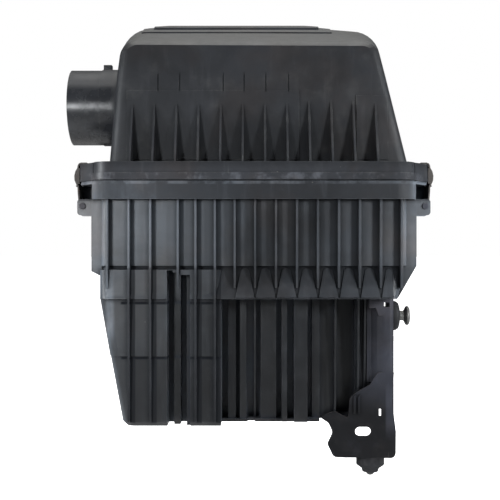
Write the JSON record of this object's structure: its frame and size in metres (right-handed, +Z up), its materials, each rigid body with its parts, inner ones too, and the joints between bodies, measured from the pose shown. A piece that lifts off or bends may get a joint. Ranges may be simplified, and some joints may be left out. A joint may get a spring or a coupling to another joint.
{
  "type": "air filter housing",
  "caption": "Air filter housing with a ribbed case, a domed cover with a round side outlet, spring clips, a pleated element and a steel side bracket on a rubber foot.",
  "frame": {"origin": "the middle of the foot's round collar, on the foot's axis under the side bracket", "axes": "+Z up along the foot's axis, +X to the side bracket's side with the outlet on -X, -Y towards the recessed front face"},
  "size_m": [0.3493, 0.247, 0.4414],
  "materials": {
    "case_plastic": "moulded black polypropylene, weathered to a blue-grey, satin",
    "cover_plastic": "moulded black polypropylene, scuffed, satin",
    "filter_paper": "pleated resin-treated filter paper, matt",
    "seal_foam": "moulded polyurethane sealing rim, matt",
    "spring_steel": "spring steel, dulled, with traces of surface rust",
    "bright_steel": "zinc-plated steel, slightly dulled",
    "black_paint": "black painted steel, worn at its edges",
    "brass": "plain brass",
    "rubber": "moulded black rubber, matt"
  },
  "bodies": {
    "housing": {"case_shell": "case_plastic", "clip_pins": "black_paint", "side_bracket": "black_paint", "bracket_screws": "bright_steel", "bracket_inserts": "brass", "side_stud": "bright_steel", "stud_grommet": "rubber", "stud_nut": "bright_steel", "foot_rubber": "rubber", "foot_bolt": "bright_steel", "foot_nut": "bright_steel", "rear_grommet": "rubber", "rear_sleeve": "bright_steel", "inlet_gasket": "rubber", "drain_valve": "rubber"},
    "cover": {"cover_shell": "cover_plastic"},
    "filter_element": {"element_media": "filter_paper", "element_seal": "seal_foam"},
    "front_left_clip": {"clip_front_left": "spring_steel"},
    "rear_left_clip": {"clip_rear_left": "spring_steel"},
    "front_right_clip": {"clip_front_right": "spring_steel"},
    "rear_right_clip": {"clip_rear_right": "spring_steel"}
  },
  "joints": [
    {"name": "cover_lift", "type": "slide", "parent": "housing", "child": "cover", "axis": [0, 0, 1], "range_m": [0, 0.22]},
    {"name": "element_lift", "type": "slide", "parent": "housing", "child": "filter_element", "axis": [0, 0, 1], "range_m": [0, 0.1]},
    {"name": "front_left_clip_turn", "type": "hinge", "parent": "housing", "child": "front_left_clip", "pos_m": [-0.273, -0.02, 0.2435], "axis": [0, -1, 0], "range_deg": [0, 110]},
    {"name": "rear_left_clip_turn", "type": "hinge", "parent": "housing", "child": "rear_left_clip", "pos_m": [-0.273, 0.11, 0.2435], "axis": [0, -1, 0], "range_deg": [0, 110]},
    {"name": "front_right_clip_turn", "type": "hinge", "parent": "housing", "child": "front_right_clip", "pos_m": [0.047, -0.02, 0.2435], "axis": [0, 1, 0], "range_deg": [0, 110]},
    {"name": "rear_right_clip_turn", "type": "hinge", "parent": "housing", "child": "rear_right_clip", "pos_m": [0.047, 0.11, 0.2435], "axis": [0, 1, 0], "range_deg": [0, 110]}
  ],
  "couplings": [
    {"joint": "element_lift", "follows": "cover_lift", "ratio": 0.45}
  ]
}
